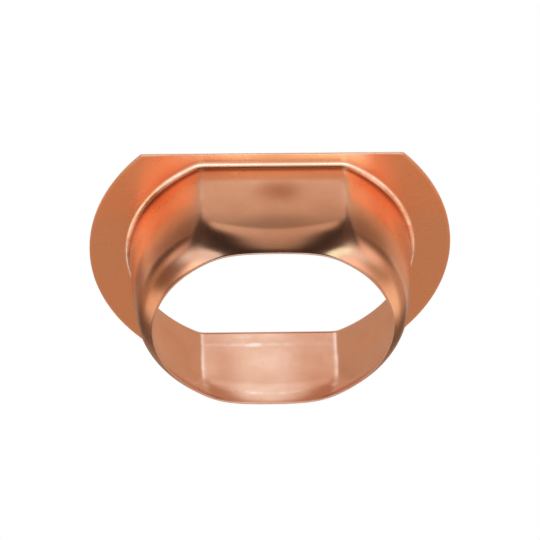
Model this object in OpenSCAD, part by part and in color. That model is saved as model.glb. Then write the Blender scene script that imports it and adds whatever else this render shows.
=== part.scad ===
// Gutter outlet drawn from one sheet of copper.
// A flat flange with bulging ends sits on the bottom of the gutter. Below it a collar and a
// tapering body with two flat sides turn in over a rounded shoulder to the round free rim,
// which drops into the downpipe.
// Z is up as installed. The rim stands at z = 0 and the flange is on top.

/* [Sheet] */
// thickness of the copper sheet
sheet_t = 0.7; // [0.5:0.1:1.2]

/* [Flange] */
// length of the flange across its bulging ends
flange_w = 150.4; // [140:0.2:164]
// depth of the flange between its straight edges
flange_d = 114; // [110:0.5:124]
// radius of the bulging ends
end_r = 83.2; // [77:0.1:110]
// how far the four corners of the flange are taken back
corner_cut = 0.25; // [0.1:0.05:1]

/* [Body] */
// height from the free rim to the underside of the flange
body_h = 44.4; // [38:0.2:56]
// height of the collar between the flange and the bend
collar_h = 8.5; // [4:0.5:12]
// distance across the round sides at the bend
side_d = 116.5; // [112:0.5:122]
// distance between the two flat sides at the bend
flat_d = 100.4; // [98:0.2:103]
// slope of the collar away from the vertical, in degrees
collar_slope = 4; // [1:0.1:9]
// slope of the body below the bend, in degrees
side_slope = 5.5; // [2:0.1:7]
// radius of the bend from the collar out into the flange
flare_r = 1.6; // [1:0.1:2.5]

/* [Rim] */
// outside diameter of the round rim
rim_d = 98.5; // [92:0.5:101]
// height of the straight rim below the shoulder
lip_h = 1.6; // [1.2:0.1:2.6]
// radius of the turn from the rim out into the shoulder
lip_r = 0.8; // [0.6:0.1:1]
// slope of the shoulder away from the vertical, in degrees
shoulder_slope = 54; // [48:1:60]
// radius of the turn from the shoulder up into the body, where there is room for it
shoulder_r = 12; // [6:0.5:14]
// height above the rim at which the flat sides turn down towards it
flat_end_h = 8.6; // [5:0.2:12]
// how far each flat side still comes in between that height and the rim
flat_in = 0.7; // [0:0.1:1.5]

/* [Quality] */
// number of sides of a full circle in the preview mesh
$fn = 128; // [48:8:192]
// largest step of a rounded bend, in degrees
arc_step = 7; // [5:1:12]

/* [Hidden] */
bend_z = body_h - collar_h;
rim_r = rim_d / 2;
side_r = side_d / 2;
collar_out = collar_h * tan(collar_slope);
// half the distance between the flat sides where they turn down
flat_end_x = flat_d / 2 - (bend_z - flat_end_h) * tan(side_slope);
// corner in which the shoulder would meet the round side if it had no radius
shoulder_z = (side_r - bend_z * tan(side_slope) - rim_r + lip_h * tan(shoulder_slope))
    / (tan(shoulder_slope) - tan(side_slope));
shoulder_x = rim_r + (shoulder_z - lip_h) * tan(shoulder_slope);
// length of the straight shoulder between the rim's turn and that corner
shoulder_room = (shoulder_z - lip_h) / cos(shoulder_slope) - lip_r * tan(shoulder_slope / 2);
shoulder_turn = min(shoulder_r, 0.95 * shoulder_room / tan((shoulder_slope - side_slope) / 2));
// centre of each bulging end, on the far side of the axis
end_x = end_r - flange_w / 2;
// distance from the axis to the corners of the flange
corner_reach = norm([sqrt(end_r * end_r - flange_d * flange_d / 4) - end_x, flange_d / 2]);
// beyond the flange on every side
clear = flange_w;

// Outside line of the round sides, from the rim up and out along the underside of the flange.
function round_line() = [
    [rim_r, 0],
    [rim_r, lip_h],
    [shoulder_x, shoulder_z],
    [side_r, bend_z],
    [side_r + collar_out, body_h],
    [clear, body_h]
];
function round_radii() = [0, lip_r, -shoulder_turn, 0, flare_r, 0];

// Outside line of the flat sides, drawn the same way.
function flat_line() = [
    [flat_end_x - flat_in, 0],
    [flat_end_x, flat_end_h],
    [flat_d / 2, bend_z],
    [flat_d / 2 + collar_out, body_h],
    [clear, body_h]
];
function flat_radii() = [0, 0, 0, flare_r, 0];

function unit(v) = v / norm(v);
function turned(v, angle) = [
    v[0] * cos(angle) - v[1] * sin(angle),
    v[0] * sin(angle) + v[1] * cos(angle)
];
// Outward normal of the piece of a line that starts at point i.
function out_of(line, i) = let (d = unit(line[i + 1] - line[i])) [d[1], -d[0]];
// The line moved inwards by t, square to each of its pieces.
function inset(line, t) = [
    for (i = [0 : len(line) - 1])
        let (a = out_of(line, max(i - 1, 0)), b = out_of(line, min(i, len(line) - 2)))
        line[i] - (a + b) * t / (1 + a * b)
];
// Radii of that line: a hollow turn (above 0) grows by t and a bulging one (below 0) shrinks.
function inset_radii(radii, t) = [for (r = radii) r == 0 ? 0 : r + t];

// Points of the arc that rounds corner i of a line.
function arc(line, i, r) =
    let (
        a = unit(line[i - 1] - line[i]),
        b = unit(line[i + 1] - line[i]),
        half = acos(a * b) / 2,
        centre = line[i] + unit(a + b) * r / sin(half),
        start = line[i] + a * r / tan(half) - centre,
        turn = (180 - 2 * half) * (cross(a, b) > 0 ? -1 : 1),
        steps = ceil(abs(turn) / arc_step)
    )
    [for (k = [0 : steps]) centre + turned(start, turn * k / steps)];
// The line with its corners rounded.
function rounded(line, radii) = [
    for (i = [0 : len(line) - 1])
        for (p = radii[i] == 0 ? [line[i]] : arc(line, i, abs(radii[i])))
            p
];

// Area inside a line, from the axis out to it, or between it and its mirror image.
module section(line, radii, floor_z, roof_z, mirrored) {
    side = concat(
        [[line[0][0], floor_z]],
        rounded(line, radii),
        [[line[len(line) - 1][0], roof_z]]
    );
    other = [for (i = [len(side) - 1 : -1 : 0]) [-side[i][0], side[i][1]]];
    polygon(concat(side, mirrored ? other : [[0, roof_z], [0, floor_z]]));
}

// Body and flange without their hollow, with every surface moved inwards by t.
module solid_form(t, floor_z, roof_z) {
    intersection() {
        rotate_extrude()
            section(inset(round_line(), t), inset_radii(round_radii(), t), floor_z, roof_z, false);
        rotate([90, 0, 90])
            linear_extrude(height = 2 * clear, center = true)
                section(inset(flat_line(), t), inset_radii(flat_radii(), t), floor_z, roof_z, true);
    }
}

// Outline of the flange: two bulging ends, two straight edges and four softened corners.
module flange_outline() {
    intersection() {
        translate([end_x, 0])
            circle(r = end_r);
        translate([-end_x, 0])
            circle(r = end_r);
        square([flange_w, flange_d], center = true);
        circle(r = corner_reach - corner_cut);
    }
}

module outlet() {
    color("#b87348")
        difference() {
            intersection() {
                solid_form(0, 0, body_h + 2 * sheet_t);
                linear_extrude(height = body_h + 2 * sheet_t)
                    flange_outline();
            }
            solid_form(sheet_t, -1, body_h + 3 * sheet_t);
        }
}

outlet();
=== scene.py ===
import math

import bpy
import numpy as np
from mathutils import Matrix, Vector


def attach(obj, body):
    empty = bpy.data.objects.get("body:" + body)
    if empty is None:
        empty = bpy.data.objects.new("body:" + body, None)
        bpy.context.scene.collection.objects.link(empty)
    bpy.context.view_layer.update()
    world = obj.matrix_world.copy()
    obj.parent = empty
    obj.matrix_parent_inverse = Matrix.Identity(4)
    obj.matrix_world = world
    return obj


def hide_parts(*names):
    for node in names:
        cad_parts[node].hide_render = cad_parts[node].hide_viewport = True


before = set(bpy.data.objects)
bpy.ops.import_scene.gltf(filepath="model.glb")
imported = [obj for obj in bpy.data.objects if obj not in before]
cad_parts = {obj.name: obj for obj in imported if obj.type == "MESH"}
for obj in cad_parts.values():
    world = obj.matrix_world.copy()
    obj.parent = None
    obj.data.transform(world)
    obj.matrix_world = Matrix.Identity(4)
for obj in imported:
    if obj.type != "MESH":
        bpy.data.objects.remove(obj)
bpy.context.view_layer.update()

MM = 0.001

# ---------------------------------------------------------------- sizes, in mm and degrees
SHEET = 0.7
# radius of the cut edges
EDGE = 0.1

FLANGE_W = 150.4
FLANGE_D = 114.0
# radius of the flange's bulging ends
END_R = 83.2
# radius of the turn from the collar out into the flange
FLARE_R = 2.3

# heights above the rim: underside of the flange, bend below the collar, top of the shoulder
BODY_H = 44.4
BEND_Z = 35.9
SHOULDER_TOP = 16.0
# distance from the axis to the round and the flat sides at the bend
SIDE_R = 58.12
FLAT_D = 50.38
# half the width of a flat side
FLAT_HALF = 28.0
# slopes away from the vertical, and radii of the turns
COLLAR_SLOPE = 4.0
SIDE_SLOPE = 5.5
SHOULDER_SLOPE = 48.0
SHOULDER_R = 16.0
BEND_R = 14.0

RIM_R = 49.25
# distance from the axis to the rim at its front and back
RIM_FLAT = 46.9
LIP_H = 0.4
LIP_R = 0.4
# height at which a flat side turns down towards the rim, and radius of that turn
FLAT_END_H = 8.6
FLAT_END_R = 10.0

# softness of the flange's corners, the upright creases and the rim
CORNER_SOFT = 0.9
CREASE_SOFT = 1.2
RIM_SOFT = 4.5
# what the creases' softness gains down to the rim
FOOT_SOFT = 4.5

# how far the drawn sheet stands off its plain form, and at which heights: the bulge of the flat
# sides, that of the round sides, the crown of the flat sides, and the curl of their lower edge
BARREL, BARREL_Z = 0.25, 24.0
ROUND_BARREL, ROUND_BARREL_Z = 0.5, 22.0
CROWN, CROWN_Z = 0.2, (10.0, 20.0, 33.0, 41.0)
CURL, CURL_H = 0.1, 2.2

# where the sheet has painted highlights, painted shade and the collar's painted reflection:
# heights, and x along the flat sides
CREASE_Z = (9.0, 14.0, 43.0, 44.0)
FLARE_Z = (BODY_H - 1.5, BODY_H - 1.0, BODY_H - 0.12, BODY_H - 0.02)
COLLAR_Z = (BEND_Z - 1.0, BEND_Z + 3.5, BODY_H - 1.2, BODY_H - 0.1)
# heights where the painted shade below the flare starts and where it is full
SHADE_LOW, SHADE_TOP = 40.2, 42.0
# how much lower the painted shade starts on the round sides
SHADE_DROP = 2.4
STRIP_X = (-31.0, -12.0, 34.0, 44.0)

# rows of the mesh: heights up the body, steps round the flare, and shares of the way out to the
# edge of the flange
BODY_ROWS = np.concatenate(
    [
        [EDGE, 0.2, 0.3, 0.4, 0.55, 0.75, 1.0, 1.5, 2.0, 2.5],
        np.linspace(3.0, 15.0, 23),
        np.linspace(16.0, 33.0, 11),
        np.linspace(34.0, 38.0, 9),
        np.linspace(39.0, 42.0, 5),
    ]
)
FLARE_ROWS = 9
FLANGE_ROWS = [0.06, 0.15, 0.3, 0.45, 0.6, 0.75, 0.9, 1.0]
# columns of the mesh, in degrees: the plain step, and the columns next to a corner of the flange,
# which take the place of the plain ones within CORNER_REACH
COLUMN_STEP = 0.75
CORNER_REACH = 1.8
CORNER_COLUMNS = [-1.6, -1.3, -1.0, -0.7, -0.45, -0.2, 0, 0.2, 0.45, 0.7, 1.0, 1.3, 1.6]
# radius at which the texture turns an angle into a length
TEXTURE_R = 54


# ---------------------------------------------------------------- shape
def tan(degrees):
    return math.tan(math.radians(degrees))


def soft_min(a, b, k):
    """The lower of two values, with a soft turn from one to the other."""
    k = 1.5 * k
    h = np.clip(k - np.abs(a - b), 0, None) / k
    return np.minimum(a, b) - h**3 * k / 6


def smooth(x, a, b):
    """0 up to a, 1 from b on, and a soft rise between them."""
    t = np.clip((x - a) / (b - a), 0, 1)
    return t * t * (3 - 2 * t)


def between(x, a, b, c, d):
    """0 up to a, 1 from b to c, 0 again from d on, and soft changes between them."""
    return smooth(x, a, b) * (1 - smooth(x, c, d))


def bell(x, centre, width):
    """1 at the centre, and fading on both sides of it."""
    return np.exp(-(((x - centre) / width) ** 2))


def rounded_line(points, radii, steps=10):
    """A line of (distance from the axis, height) points with its corners rounded."""
    out = [np.array(points[0], float)]
    for i in range(1, len(points) - 1):
        p = np.array(points[i], float)
        a = np.array(points[i - 1], float) - p
        b = np.array(points[i + 1], float) - p
        a /= np.linalg.norm(a)
        b /= np.linalg.norm(b)
        half = math.acos(max(-1.0, min(1.0, float(a @ b)))) / 2
        centre = p + (a + b) / np.linalg.norm(a + b) * radii[i] / math.sin(half)
        s = p + a * radii[i] / math.tan(half) - centre
        e = p + b * radii[i] / math.tan(half) - centre
        t0 = math.atan2(s[1], s[0])
        turn = (math.atan2(e[1], e[0]) - t0 + math.pi) % (2 * math.pi) - math.pi
        for k in range(steps + 1):
            t = t0 + turn * k / steps
            out.append(centre + radii[i] * np.array([math.cos(t), math.sin(t)]))
    out.append(np.array(points[-1], float))
    return np.array(out)


# distance from the axis to the round sides at the rim, if they ran straight down
side_foot = SIDE_R - BEND_Z * tan(SIDE_SLOPE)
shoulder_z = (side_foot - RIM_R + LIP_H * tan(SHOULDER_SLOPE)) / (
    tan(SHOULDER_SLOPE) - tan(SIDE_SLOPE)
)
shoulder_x = RIM_R + (shoulder_z - LIP_H) * tan(SHOULDER_SLOPE)
collar_out = (BODY_H - BEND_Z) * tan(COLLAR_SLOPE)
flat_end = FLAT_D - (BEND_Z - FLAT_END_H) * tan(SIDE_SLOPE)

# outside lines of the round and the flat sides, from below the rim up to the flange
ROUND_SIDE = rounded_line(
    [
        (RIM_R, -1),
        (RIM_R, LIP_H),
        (shoulder_x, shoulder_z),
        (SIDE_R, BEND_Z),
        (SIDE_R + collar_out, BODY_H),
    ],
    [0, LIP_R, SHOULDER_R, BEND_R, 0],
)
FLAT_SIDE = rounded_line(
    [(RIM_FLAT, -1), (flat_end, FLAT_END_H), (FLAT_D, BEND_Z), (FLAT_D + collar_out, BODY_H)],
    [0, FLAT_END_R, BEND_R, 0],
)


def line_at(line, z):
    return np.interp(z, line[:, 1], line[:, 0])


def to_flat(th, d):
    """Distance from the axis, at these angles, to the flat sides that stand d away from it."""
    return d / np.maximum(np.abs(np.sin(th)), 1e-6)


def angles():
    """Angles round the axis, closer together at the corners of the flange."""
    corner_x = math.sqrt(END_R**2 - FLANGE_D**2 / 4) - END_R + FLANGE_W / 2
    corner = math.degrees(math.atan2(FLANGE_D / 2, corner_x))
    base = np.arange(0, 90, COLUMN_STEP)
    base = base[np.abs(base - corner) > CORNER_REACH]
    quarter = np.concatenate([base, corner + np.array(CORNER_COLUMNS), [90.0]])
    full = np.concatenate([quarter, 180 - quarter, 180 + quarter, 360 - quarter])
    return np.radians(np.unique(np.round(full % 360, 4)))


def outline(th):
    """Distance from the axis to the edge of the flange."""
    centre = END_R - FLANGE_W / 2
    ends = -centre * np.abs(np.cos(th)) + np.sqrt(END_R**2 - (centre * np.sin(th)) ** 2)
    return soft_min(to_flat(th, FLANGE_D / 2), ends, CORNER_SOFT)


def wall(th, z, k):
    """Distance from the axis to the two flat and two round sides at one height.

    Below the top of the shoulder they run straight down, as if there were no shoulder.
    """
    if z > SHOULDER_TOP:
        r, d = line_at(ROUND_SIDE, z), line_at(FLAT_SIDE, z)
    else:
        taper = (BEND_Z - z) * tan(SIDE_SLOPE)
        r, d = SIDE_R - taper, FLAT_D - taper
    return soft_min(np.full_like(th, r), to_flat(th, d), k)


def shoulder(z):
    """How far the round side has turned in at one height: 0 above the shoulder, 1 at the rim."""
    side = SIDE_R - (BEND_Z - z) * tan(SIDE_SLOPE)
    return (side - line_at(ROUND_SIDE, z)) / (side_foot - RIM_R)


def section(th, z):
    """Distance from the axis to the outside of the body at one height."""
    x = SIDE_R * np.cos(th)
    across = np.clip(x / FLAT_HALF, -1, 1)
    rounds = smooth(np.abs(x), FLAT_HALF - 3.0, FLAT_HALF + 3.0)
    reach = 12.5 - 4.0 * across**2 if z < BARREL_Z else 12.0
    side = wall(th, z, CREASE_SOFT + FOOT_SOFT * (1 - smooth(z, 5.0, 17.0)))
    side = side + (1 - rounds) * BARREL * np.clip(1 - ((z - BARREL_Z) / reach) ** 2, 0, 1)
    side = side + rounds * ROUND_BARREL * max(0.0, 1 - ((z - ROUND_BARREL_Z) / 14.0) ** 2) ** 2
    side = side + CROWN * between(z, *CROWN_Z) * (1 - across**2) ** 2
    if z > SHOULDER_TOP:
        return side
    foot = wall(th, 0.0, CREASE_SOFT + FOOT_SOFT)
    rim = soft_min(np.full_like(th, RIM_R), to_flat(th, RIM_FLAT), RIM_SOFT)
    middle = 1 - smooth(np.abs(RIM_R * np.cos(th)), 14.0, 26.0)
    curl = CURL * max(0.0, 1 - z / CURL_H) ** 2 * middle
    return side - shoulder(z) * (foot - rim) - curl


def outer_rows(th):
    """Rows of the outside, from the rim up and out to the flange's edge, and that edge."""
    c, s = np.cos(th), np.sin(th)
    out = []
    for z in BODY_ROWS:
        r = section(th, z)
        out.append(np.stack([r * c, r * s, np.full_like(th, z)], 1))
    # the flare turns out square to the section below it
    slope = math.radians(COLLAR_SLOPE)
    centre_z = BODY_H - FLARE_R
    r = section(th, centre_z + FLARE_R * math.sin(slope))
    base = np.stack([r * c, r * s], 1)
    along = np.roll(base, -1, 0) - np.roll(base, 1, 0)
    square = np.stack([along[:, 1], -along[:, 0]], 1)
    square /= np.linalg.norm(square, axis=1, keepdims=True)
    centre = base + square * FLARE_R * math.cos(slope)
    for phi in np.linspace(slope, math.pi / 2, FLARE_ROWS):
        p = centre - square * FLARE_R * math.cos(phi)
        out.append(np.column_stack([p, np.full_like(th, centre_z + FLARE_R * math.sin(phi))]))
    start = out[-1][:, :2]
    reach = outline(th)
    edge = np.stack([reach * c, reach * s], 1)
    end = edge * (1 - EDGE / reach)[:, None]
    for f in FLANGE_ROWS:
        out.append(np.column_stack([start + (end - start) * f, np.full_like(th, BODY_H)]))
    return np.array(out), edge


def formed_sheet(th, outer, edge):
    """The sheet as closed loops, and how many of them make each cut edge.

    They start inside the rim and go round its cut edge, up the outside, round the cut edge of
    the flange and back down the inside.
    """
    up = np.gradient(outer, axis=0)
    along = np.roll(outer, -1, axis=1) - np.roll(outer, 1, axis=1)
    normal = np.cross(along, up)
    normal /= np.linalg.norm(normal, axis=2, keepdims=True)
    normal[-len(FLANGE_ROWS) :] = (0, 0, -1)
    inner = outer - normal * SHEET
    inner[0, :, 2] = EDGE
    level = normal[0] * (1, 1, 0)
    level /= np.linalg.norm(level, axis=1, keepdims=True)
    outwards = edge / np.linalg.norm(edge, axis=1, keepdims=True)
    # each loop of a cut edge, as its place across the sheet and how far it is taken back
    b = EDGE * (1 - math.cos(math.pi / 4))
    cut = [(b, b), (EDGE, 0), (SHEET / 2, 0), (SHEET - EDGE, 0), (SHEET - b, b)]
    loops = []
    for across, back in cut[::-1]:
        p = outer[0] - level * across
        p[:, 2] = back
        loops.append(p)
    loops.extend(outer)
    for across, back in cut:
        loops.append(np.column_stack([edge - outwards * back, np.full(len(th), BODY_H + across)]))
    loops.extend(inner[::-1])
    return np.array(loops), len(cut)


def along_creases(th, z):
    """1 along the four upright creases of the body, and 0 away from them."""
    off = np.abs(to_flat(th, line_at(FLAT_SIDE, z)) - line_at(ROUND_SIDE, z))
    return bell(off, 0.0, 0.55) * between(z, *CREASE_Z)


def sheet_marks(th, outer, cut):
    """What the material shows at each point of the loops, from 0 for nothing of it.

    cut: the cut edges. flange: 1 on the flange, 2 on the collar, whose deeper red is a painted
    reflection of the flange, 0 on the drawn body. painted_highlights: pale painted highlights.
    tarnish: duller inside. strip_highlight: painted highlight, brighter strips under the flange.
    painted_shade: painted shade, darker in the corner right below the flare.
    """
    rows, m = outer.shape[:2]
    outside = slice(cut, cut + rows)
    flange_edge = slice(cut + rows, 2 * cut + rows)
    inside = slice(2 * cut + rows, None)
    names = ("cut", "flange", "painted_highlights", "tarnish", "strip_highlight", "painted_shade")
    marks = {name: np.zeros((2 * (cut + rows), m)) for name in names}
    x = SIDE_R * np.cos(th)
    z = outer[:, :1, 2]

    marks["cut"][:cut] = 1
    marks["cut"][flange_edge] = 1

    # on the collar the mark rises to 2, for its deeper red, a painted reflection of the flange
    marks["flange"][outside] = smooth(z, BEND_Z - 1.0, BEND_Z + 2.0) + between(z, *COLLAR_Z)
    # the flange's edge, and its upper side up to the turn down into the body
    marks["flange"][flange_edge.start : flange_edge.stop + len(FLANGE_ROWS) + 1] = 1

    # painted highlight: brighter strips on the flange's underside, at its front and back
    strips = smooth(np.abs(outer[:, :, 1]), 46.0, 49.0) * between(outer[:, :, 0], *STRIP_X)
    marks["strip_highlight"][outside] = (z > BODY_H - 0.01) * strips

    # the painted shade reaches further down on the round sides, and is fainter there
    side = smooth(np.abs(x), FLAT_HALF, 54.0)
    low = SHADE_LOW - SHADE_DROP * side
    fade = 0.92 * smooth((z - low) / (SHADE_TOP - low), 0.0, 1.0)
    fade = fade + 0.08 * smooth(z, SHADE_LOW - 2.0, SHADE_LOW)
    marks["painted_shade"][outside] = (
        (1 - 0.25 * side) * fade * (1 - smooth(z, SHADE_TOP + 0.2, SHADE_TOP + 1.0))
    )

    # outside, painted highlights along the creases, and along the flare too, most of all on the
    # round sides
    flare = 0.15 + 1.5 * smooth(np.abs(x), FLAT_HALF, 42.0)
    marks["painted_highlights"][outside] = 0.6 * along_creases(th, z) + between(z, *FLARE_Z) * flare

    # inside, painted highlights along the bend and the foot of the flat sides as well, with one
    # brighter spot, a short line above the bend and a spot at the lower end of each crease
    flat = 1 - smooth(np.abs(x), 27.5, 30.0)
    foot = 6.1 + 4.3 * (x / 27.0) ** 2
    line = 1.3 * bell(z, BEND_Z, 0.9) + 0.9 * bell(z, foot, 0.8)
    line = line + 0.8 * bell(z, 40.5, 0.6) * np.exp(-(((x + 13.0) / 5.0) ** 4))
    spot = 1 + 2.2 * bell(x, -7.8, 3.5)
    corner = 1.8 * bell(np.abs(x), 29.0, 1.3) * bell(z, 10.5, 1.6)
    # the rest of the flat sides is a little tarnished there, away from the middle
    dull = flat * np.maximum(smooth(x, -2.0, 24.0), 0.8 * smooth(-x, 10.0, 23.0))
    marks["tarnish"][inside] = dull
    painted_highlights = np.maximum(along_creases(th, z) ** 2 + corner, flat * line * spot * (1 - 0.9 * dull))
    marks["painted_highlights"][inside] = painted_highlights[::-1]
    return marks


def link_object(name, data):
    obj = bpy.data.objects.new(name, data)
    bpy.context.scene.collection.objects.link(obj)
    return obj


def build_outlet():
    th = angles()
    outer, edge = outer_rows(th)
    grid, cut = formed_sheet(th, outer, edge)
    n, m = len(grid), len(th)
    i = np.arange(n)[:, None]
    j = np.arange(m)[None, :]
    i2, j2 = (i + 1) % n, (j + 1) % m
    corners = (i * m + j, i * m + j2, i2 * m + j2, i2 * m + j)
    quads = np.stack([np.broadcast_to(k, (n, m)) for k in corners], axis=-1).reshape(-1, 4)
    mesh = bpy.data.meshes.new("outlet_sheet")
    mesh.from_pydata((grid.reshape(-1, 3) * MM).tolist(), [], quads.tolist())
    mesh.update()
    for name, values in sheet_marks(th, outer, cut).items():
        layer = mesh.attributes.new(name, "FLOAT", "POINT")
        layer.data.foreach_set("value", values.reshape(-1).astype(np.float32))
    # metres round the axis and along the sheet
    step = np.linalg.norm(np.diff(grid, axis=0), axis=2).mean(axis=1)
    v = np.concatenate([[0], np.cumsum(step), [0]]) * MM
    v[-1] = v[-2] + SHEET * MM
    u = np.concatenate([th, [2 * math.pi]]) * TEXTURE_R * MM
    values = np.empty((n, m, 4, 2), np.float32)
    values[..., 0] = np.stack([u[:-1], u[1:], u[1:], u[:-1]], 1)[None]
    values[:, :, :2, 1] = v[:-1, None, None]
    values[:, :, 2:, 1] = v[1:, None, None]
    uv = mesh.uv_layers.new(name="sheet")
    uv.data.foreach_set("uv", values.reshape(-1))
    mesh.polygons.foreach_set("use_smooth", np.ones(len(quads), bool))
    mesh.update()
    return link_object("outlet_sheet", mesh)


# ---------------------------------------------------------------- material
class Tree:
    """Short ways to make and link the nodes of a material or a world."""

    def __init__(self, owner):
        owner.use_nodes = True
        self.t = owner.node_tree
        self.t.nodes.clear()

    def put(self, socket, value):
        """A link, a number, a vector or a colour on a socket."""
        if isinstance(value, bpy.types.NodeSocket):
            self.t.links.new(value, socket)
        elif socket.type == "RGBA":
            socket.default_value = (*value, 1)
        else:
            socket.default_value = value

    def add(self, kind, sockets=None, **settings):
        node = self.t.nodes.new("ShaderNode" + kind)
        for key, value in settings.items():
            setattr(node, key, value)
        for key, value in (sockets or {}).items():
            self.put(node.inputs[key], value)
        return node

    def math(self, op, a, b=0.0, clamp=False):
        return self.add("Math", {0: a, 1: b}, operation=op, use_clamp=clamp).outputs[0]

    def times(self, a, b):
        return self.math("MULTIPLY", a, b)

    def plus(self, a, b):
        return self.math("ADD", a, b)

    def mix(self, fac, a, b):
        """Colour a, with this share of colour b over it."""
        return self.add("Mix", {0: fac, 6: a, 7: b}, data_type="RGBA").outputs[2]

    def span(self, value, a, b, low=0.0, high=1.0):
        """low up to a, high from b on, and a soft change between them."""
        sockets = {0: value, 1: a, 2: b, 3: low, 4: high}
        return self.add("MapRange", sockets, interpolation_type="SMOOTHSTEP").outputs[0]

    def noise(self, vector, scale, detail, rough):
        sockets = {"Vector": vector, "Scale": scale, "Detail": detail, "Roughness": rough}
        return self.add("TexNoise", sockets).outputs[0]

    def mapped(self, vector, scale, location=(0, 0, 0)):
        sockets = {"Vector": vector, "Location": location, "Scale": scale}
        return self.add("Mapping", sockets).outputs[0]

    def length(self, vector):
        return self.add("VectorMath", {0: vector}, operation="LENGTH").outputs["Value"]

    def attribute(self, name):
        return self.add("Attribute", attribute_name=name).outputs["Fac"]

    def shades(self, fac, a, b):
        """Shader a, with this share of shader b over it."""
        return self.add("MixShader", {0: fac, 1: a, 2: b}).outputs[0]

    def clear(self):
        return self.add("BsdfTransparent").outputs[0]

    def surface(self, shader, owner="Material"):
        self.add("Output" + owner, {"Surface": shader})


def new_material(obj, name):
    material = bpy.data.materials.new(name)
    obj.data.materials.append(material)
    return Tree(material)


# copper, clean and in the duller clouds, on the drawn body and on the flange
BODY, BODY_CLOUD = (0.83, 0.50, 0.35), (0.78, 0.43, 0.28)
FLANGE, FLANGE_CLOUD = (0.81, 0.405, 0.235), (0.78, 0.37, 0.21)
WARM_END = (0.90, 0.385, 0.20)
# deeper red of the collar, a painted reflection of the flange
COLLAR = (0.81, 0.32, 0.17)
# brighter colour of the strips under the flange, a painted highlight
STRIP_HIGHLIGHT = (1.0, 0.60, 0.36)
# dark colour of the painted shade right below the flare
PAINTED_SHADE = (0.29, 0.08, 0.037)
SPECK = (0.62, 0.29, 0.18)
# dark colour of a painted reflection on one flat side
DARK_REFLECTION = (0.52, 0.23, 0.13)
TARNISHED = (0.60, 0.25, 0.14)
# pale colour of the painted highlights on the creases, the flare, the bend and the foot
HIGHLIGHT_COLOUR = (0.97, 0.76, 0.63)
CUT_EDGE = (0.81, 0.53, 0.40)


def copper_colour(t, place, clouds, flange, on_flange):
    cloudy = t.span(clouds, 0.35, 0.65)
    body = t.mix(cloudy, BODY, BODY_CLOUD)
    colour = t.mix(on_flange, body, t.mix(cloudy, FLANGE, FLANGE_CLOUD))
    at = t.add("SeparateXYZ", {0: place}).outputs
    # the flange is warmer near its front corners
    warm_x = t.span(t.math("ABSOLUTE", at[0]), 0.032, 0.046)
    warm = t.times(t.span(at[1], -0.028, -0.016, 0.85, 0.0), warm_x)
    specks = t.noise(place, 900.0, 3.0, 0.6)
    # a painted dark reflection high on one flat side, with a faint ring around it
    from_spot = t.length(t.mapped(place, (60.0, 50.0, 90.0), (-0.17, 2.5, -2.75)))
    dark_reflection = t.plus(t.span(from_spot, 0.0, 0.8, 0.78, 0.0), t.span(from_spot, 0.3, 1.9, 0.16, 0.0))
    tarnished = t.times(t.attribute("tarnish"), t.span(clouds, 0.3, 0.7, 0.75, 1.0))
    # the painted highlights are broken up by fine noise
    highlight_breakup = t.span(t.noise(place, 160.0, 3.0, 0.6), 0.32, 0.6, 0.15, 1.0)
    highlight_share = t.math("MULTIPLY", t.times(t.attribute("painted_highlights"), highlight_breakup), 0.45, clamp=True)
    layers = [
        (t.times(warm, on_flange), WARM_END),
        # the collar's painted reflection of the flange
        (t.math("SUBTRACT", flange, 1.0, clamp=True), COLLAR),
        # painted highlight under the flange
        (t.attribute("strip_highlight"), STRIP_HIGHLIGHT),
        # painted shade below the flare
        (t.attribute("painted_shade"), PAINTED_SHADE),
        (t.span(specks, 0.62, 0.75, 0.0, 0.25), SPECK),
        # painted dark reflection
        (dark_reflection, DARK_REFLECTION),
        (tarnished, TARNISHED),
        # painted highlights
        (highlight_share, HIGHLIGHT_COLOUR),
        (t.attribute("cut"), CUT_EDGE),
    ]
    for share, over in layers:
        colour = t.mix(share, colour, over)
    return colour


def paint_copper(obj):
    t = new_material(obj, "copper_sheet")
    place = t.add("TexCoord").outputs["Object"]
    sheet_uv = t.add("UVMap", uv_map="sheet").outputs[0]
    flange = t.attribute("flange")
    on_flange = t.math("MINIMUM", flange, 1.0)
    clouds = t.noise(place, 38.0, 4.0, 0.6)
    # fine draw marks, which run up the body
    lines = t.noise(t.mapped(sheet_uv, (1500.0, 60.0, 1.0)), 1.0, 4.0, 0.7)

    # softly polished, and duller in the clouds and on the flange
    rough = t.plus(t.span(clouds, 0.3, 0.7, 0.20, 0.25), t.times(on_flange, 0.05))
    rough = t.plus(rough, t.times(t.math("SUBTRACT", lines, 0.5), 0.06))

    # heights in metres of the waves of drawn sheet, its grain and the draw marks
    height = t.times(t.noise(place, 45.0, 1.0, 0.4), 0.00022)
    height = t.plus(height, t.times(t.noise(place, 1400.0, 3.0, 0.6), 0.0000015))
    height = t.plus(height, t.times(lines, 0.0000025))
    bump = t.add("Bump", {"Strength": 0.5, "Distance": 1.0, "Height": height})

    sockets = {
        "Base Color": copper_colour(t, place, clouds, flange, on_flange),
        "Metallic": 1.0,
        "Roughness": rough,
        "Normal": bump.outputs[0],
    }
    t.surface(t.add("BsdfPrincipled", sockets).outputs[0])


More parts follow.
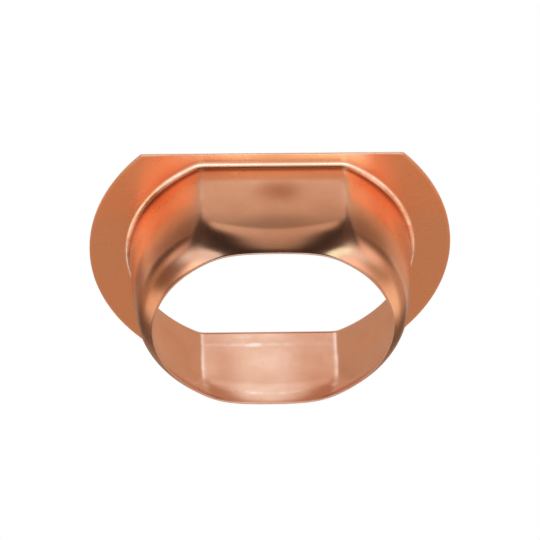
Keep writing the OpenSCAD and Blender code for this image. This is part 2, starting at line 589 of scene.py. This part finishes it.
# ---------------------------------------------------------------- studio
# Curved cards that only reflections see, with soft edges. Angles are in degrees as seen from the
# object, and azimuth 180 is the photo's side. Name, azimuth, lower and upper end, width, colour,
# softness of the sides and of the lower and upper edge, distance in metres.
CARDS = [
    ("front", 180, -22, 29, 92, (0.03, 0.018, 0.014), 18, 12, 8, 1.2),
    ("front_cool", 177.5, -69, -42, 189, (1.95, 3.7, 5.2), 30, 8, 6, 1.1),
    ("horizon_left", -140, -18, 32, 58, (0.07, 0.04, 0.03), 18, 14, 5, 1.15),
    ("horizon_left_2", -98, 10, 33, 70, (0.10, 0.055, 0.038), 18, 9, 5, 1.17),
    ("horizon_right", 138, -14, 32, 58, (0.09, 0.052, 0.038), 18, 13, 5, 1.15),
    ("horizon_right_2", 98, 12, 34, 64, (0.15, 0.09, 0.06), 20, 9, 5, 1.17),
    ("front_high", 180, 19, 46, 150, (0.82, 0.62, 0.49), 20, 3, 8, 1.3),
    ("front_top", 180, 42, 62, 90, (1.18, 1.34, 1.50), 24, 6, 6, 1.32),
    ("back", 0, -72, -12, 100, (0.565, 0.375, 0.245), 24, 18, 18, 1.4),
    ("left_over", -80, 31, 45, 108, (0.88, 0.44, 0.24), 18, 3, 6, 1.36),
    ("right_over", 80, 31, 45, 104, (0.74, 0.43, 0.26), 18, 3, 6, 1.36),
    ("left", -88, 26, 70, 130, (0.58, 0.42, 0.32), 20, 8, 12, 1.5),
    ("right", 88, 26, 70, 130, (0.66, 0.46, 0.345), 20, 8, 12, 1.5),
    ("left_brown", -80, -16, 31, 104, (0.46, 0.28, 0.18), 20, 20, 6, 1.35),
    ("right_brown", 80, -16, 31, 104, (0.58, 0.37, 0.25), 20, 20, 6, 1.35),
    ("left_dent", -88, -37, 6, 42, (0.22, 0.11, 0.06), 10, 4, 10, 1.25),
    ("right_dent", 88, -33, 4, 34, (0.50, 0.33, 0.22), 10, 6, 10, 1.25),
    ("back_low", 2, -12, 66, 96, (0.36, 0.26, 0.19), 22, 12, 14, 1.42),
    ("left_edge", -45, 20, 45, 38, (0.34, 0.18, 0.12), 13, 8, 6, 1.28),
    ("left_low", -41, -20, 30, 38, (0.15, 0.085, 0.056), 14, 14, 8, 1.3),
    ("right_low", 38, -20, 28, 36, (0.17, 0.105, 0.07), 14, 14, 8, 1.3),
    ("left_glow", -64.5, -32, 6, 46, (1.10, 0.78, 0.56), 14, 5, 10, 1.33),
    ("right_glow", 62, -32, 6, 51, (1.10, 0.84, 0.63), 14, 5, 10, 1.33),
    ("right_cream", 138, -34, -8, 40, (1.25, 1.55, 1.35), 12, 8, 8, 1.14),
    ("left_deep", -73, -70, -47, 68, (0.66, 0.62, 0.47), 20, 8, 4, 1.43),
    ("left_warm", -72, -56, -30, 88, (1.60, 1.25, 1.02), 24, 8, 4, 1.45),
    ("right_warm", 86, -56, -28, 88, (1.30, 0.95, 0.75), 24, 8, 5, 1.45),
    ("left_warm_2", -99, -56, -36, 40, (2.0, 1.45, 1.05), 14, 8, 3, 1.2),
    ("left_spot", -104, -5, 17, 28, (0.78, 0.56, 0.46), 10, 7, 7, 1.22),
    ("right_spot", 104, -16, 14, 34, (1.15, 0.95, 0.85), 10, 8, 7, 1.22),
    ("right_mid", 46, -54, -28, 44, (0.76, 0.60, 0.45), 14, 8, 6, 1.38),
]
# height of the point that they are curved around, about half the height of the object
CARD_CENTRE = 0.022
# columns and rows of a card's mesh
CARD_COLS, CARD_ROWS = 24, 16


def stage_object(name, verts, faces, uvs=None):
    mesh = bpy.data.meshes.new(name)
    mesh.from_pydata(verts, [], faces)
    if uvs:
        uv = mesh.uv_layers.new(name="card")
        uv.data.foreach_set("uv", [x for f in faces for k in f for x in uvs[k]])
    mesh.update()
    obj = link_object(name, mesh)
    return obj


def square_object(name, size, z):
    s = size / 2
    obj = stage_object(name, [(-s, -s, 0), (s, -s, 0), (s, s, 0), (-s, s, 0)], [(0, 1, 2, 3)])
    obj.location = (0, 0, z)
    return obj


def make_floor():
    """A pale floor just below the rim, which is clear from below, where the photo looks from."""
    floor = square_object("floor", 6.0, -0.0003)
    t = new_material(floor, "floor_pale")
    below = t.add("NewGeometry").outputs["Backfacing"]
    pale = t.add("BsdfDiffuse", {"Color": (0.86, 0.85, 0.84)}).outputs[0]
    t.surface(t.shades(below, pale, t.clear()))
    floor.visible_glossy = False
    floor.visible_shadow = False


def light_card(obj, t, share, colour):
    """A card's light, where its share is 1, for reflections only."""
    glow = t.add("Emission", {"Color": colour}).outputs[0]
    t.surface(t.shades(share, t.clear(), glow))
    for ray in ("camera", "diffuse", "transmission", "volume_scatter", "shadow"):
        setattr(obj, "visible_" + ray, False)


def card(name, az, low, high, width, colour, side_soft, low_soft, high_soft, far):
    """One curved card, from the angles and the other values of a line of CARDS."""
    height = high - low
    middle = (low + high) / 2
    verts, uvs = [], []
    for j in range(CARD_ROWS + 1):
        for i in range(CARD_COLS + 1):
            a = math.radians(az + width * (i / CARD_COLS - 0.5))
            e = math.radians(middle + height * (j / CARD_ROWS - 0.5))
            out, up = far * math.cos(e), far * math.sin(e)
            verts.append((out * math.sin(a), out * math.cos(a), up + CARD_CENTRE))
            uvs.append((i / CARD_COLS, j / CARD_ROWS))
    row = CARD_COLS + 1
    starts = [j * row + i for j in range(CARD_ROWS) for i in range(CARD_COLS)]
    obj = stage_object(name, verts, [(k, k + 1, k + row + 1, k + row) for k in starts], uvs)
    t = new_material(obj, name)
    at = t.add("SeparateXYZ", {0: t.add("UVMap", uv_map="card").outputs[0]}).outputs
    off = t.math("ABSOLUTE", t.math("SUBTRACT", at[0], 0.5))
    sides = t.span(off, 0.5 - side_soft / width, 0.5, 1.0, 0.0)
    foot = t.span(at[1], 0.0, low_soft / height)
    top = t.span(at[1], 1 - high_soft / height, 1.0, 1.0, 0.0)
    light_card(obj, t, t.times(t.times(sides, foot), top), colour)


def round_cards():
    """Two level round cards with soft edges, over and under the object."""
    above = square_object("card_above", 2.4, 1.5)
    t = new_material(above, "card_above")
    from_middle = t.length(t.add("TexCoord").outputs["Object"])
    light_card(above, t, t.span(from_middle, 0.55, 0.95, 1.0, 0.0), (0.66, 0.46, 0.37))

    below = square_object("card_below", 2.6, -1.2)
    t = new_material(below, "card_below")
    from_middle = t.length(t.add("TexCoord").outputs["Object"])
    # cool in the middle and warm around it
    colour = t.mix(t.span(from_middle, 0.55, 0.85), (1.1, 1.2, 1.3), (1.1, 0.95, 0.85))
    light_card(below, t, t.span(from_middle, 1.05, 1.3, 1.0, 0.0), colour)


def lamp(name, location, size, power):
    """A soft square lamp, which reflections don't see."""
    data = bpy.data.lights.new(name, "AREA")
    data.shape = "RECTANGLE"
    data.size = data.size_y = size
    data.energy = power
    obj = link_object(name, data)
    obj.location = location
    obj.rotation_mode = "QUATERNION"
    obj.rotation_quaternion = (Vector((0, 0, 0.02)) - Vector(location)).to_track_quat("-Z", "Y")
    obj.visible_glossy = False


def make_world():
    """White for the camera, for gloss and through glass, and a plain dimmer light elsewhere."""
    world = bpy.data.worlds.new("studio")
    bpy.context.scene.world = world
    t = Tree(world)
    ray = t.add("LightPath").outputs
    seen = t.math("MAXIMUM", ray["Is Camera Ray"], ray["Is Glossy Ray"])
    seen = t.math("MAXIMUM", seen, ray["Is Transmission Ray"])
    sockets = {"Color": (1, 1, 1), "Strength": t.span(seen, 0.0, 1.0, 0.7, 1.0)}
    t.surface(t.add("Background", sockets).outputs[0], "World")


# fitted to the photo: where the camera stands, and which way its right and its up are
CAMERA_AT = (-0.033407, -0.762618, -0.667230)
CAMERA_RIGHT = (0.99944, -0.01674, -0.02892)
CAMERA_UP = (0.00996, -0.67692, 0.73599)
CAMERA_LENS = 166.67


def make_camera():
    data = bpy.data.cameras.new("camera")
    data.sensor_width = 36.0
    data.lens = CAMERA_LENS
    camera = link_object("camera", data)
    right = Vector(CAMERA_RIGHT).normalized()
    up = Vector(CAMERA_UP)
    up = (up - right * up.dot(right)).normalized()
    turn = Matrix((right, up, right.cross(up))).transposed().to_4x4()
    camera.matrix_world = Matrix.Translation(CAMERA_AT) @ turn
    bpy.context.scene.camera = camera


# ---------------------------------------------------------------- scene
piece = build_outlet()
paint_copper(piece)
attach(piece, "root")
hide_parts("outlet")

make_floor()
for name, *values in CARDS:
    card("card_" + name, *values)
round_cards()
lamp("key", (-0.8, -0.9, 1.5), 0.9, 22)
lamp("fill", (1.2, 0.3, 1.2), 1.0, 9)
make_world()
make_camera()
bpy.context.scene.view_settings.view_transform = "Standard"
